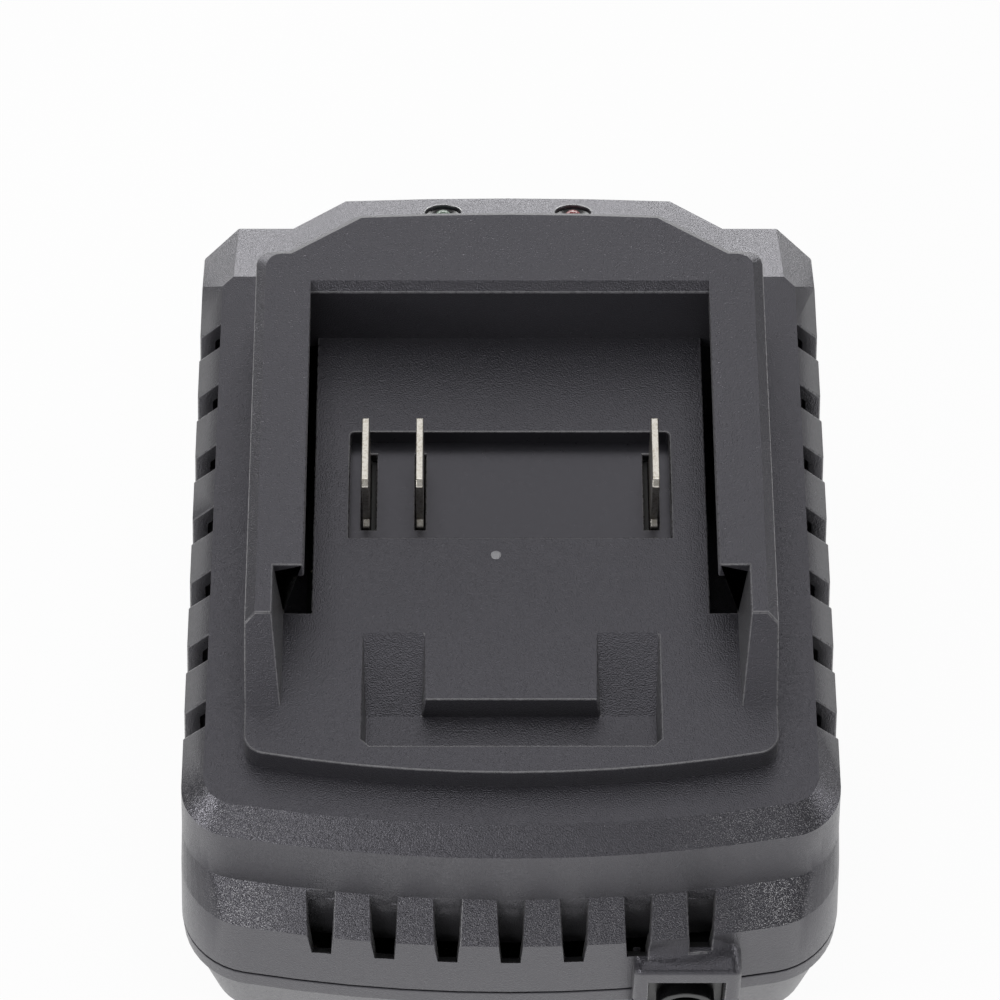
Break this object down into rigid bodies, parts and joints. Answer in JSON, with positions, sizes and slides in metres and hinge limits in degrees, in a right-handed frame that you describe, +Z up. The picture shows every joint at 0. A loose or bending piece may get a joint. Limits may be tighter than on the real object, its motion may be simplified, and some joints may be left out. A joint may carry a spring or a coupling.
{
  "type": "power tool battery charger",
  "caption": "Slide-in battery charger with an undercut rail dock, three contact blades, a latch recess, two status lamps, vented sides and a DC jack in a hood.",
  "frame": {"origin": "centre of the casing's overall box, at the table under the rubber feet", "axes": "+Y along the dock from the jack end to the lamp end, +X across the dock to the jack's side, +Z up from the table"},
  "size_m": [0.1016, 0.134, 0.0774],
  "materials": {
    "casing_plastic": "fine spark-eroded texture",
    "black_plastic": "fine matt",
    "nickel_contact": "satin nickel plate",
    "zinc_steel": "zinc plate",
    "lamp_green": "diffused lens, unlit",
    "lamp_red": "diffused lens, unlit",
    "circuit_board": "solder mask",
    "brass_leaf": "bare spring brass",
    "can_sleeve": "shrink sleeve",
    "ferrite": "sintered",
    "copper_wire": "enamelled copper",
    "heat_sink_metal": "extruded",
    "chip_parts": "ceramic",
    "fuse_case": "matt",
    "white_plastic": "satin",
    "wire_red": "satin",
    "wire_yellow": "satin",
    "wire_black": "satin",
    "foot_rubber": "matt"
  },
  "bodies": {
    "root": {"upper_casing": "casing_plastic", "lower_casing": "casing_plastic", "terminal_block": "black_plastic", "blade_positive": "nickel_contact", "blade_sense": "nickel_contact", "blade_negative": "nickel_contact", "terminal_screws": "zinc_steel", "led_bezels": "black_plastic", "led_green": "lamp_green", "led_red": "lamp_red", "led_board": "circuit_board", "led_board_screws": "zinc_steel", "main_board": "circuit_board", "board_screws": "zinc_steel", "dc_jack": "black_plastic", "jack_pin": "nickel_contact", "jack_spring": "brass_leaf", "input_capacitor": "can_sleeve", "output_capacitor": "can_sleeve", "inductor_core": "ferrite", "inductor_coil": "copper_wire", "heat_sink": "heat_sink_metal", "charge_transistor": "black_plastic", "rectifier_diode": "black_plastic", "heat_sink_screws": "zinc_steel", "controller_chip": "black_plastic", "chip_components": "chip_parts", "fuse": "fuse_case", "lead_header": "white_plastic", "lead_positive": "wire_red", "lead_sense": "wire_yellow", "lead_negative": "wire_black", "led_leads": "wire_black", "casing_screws": "zinc_steel", "rubber_feet": "foot_rubber"}
  },
  "joints": []
}
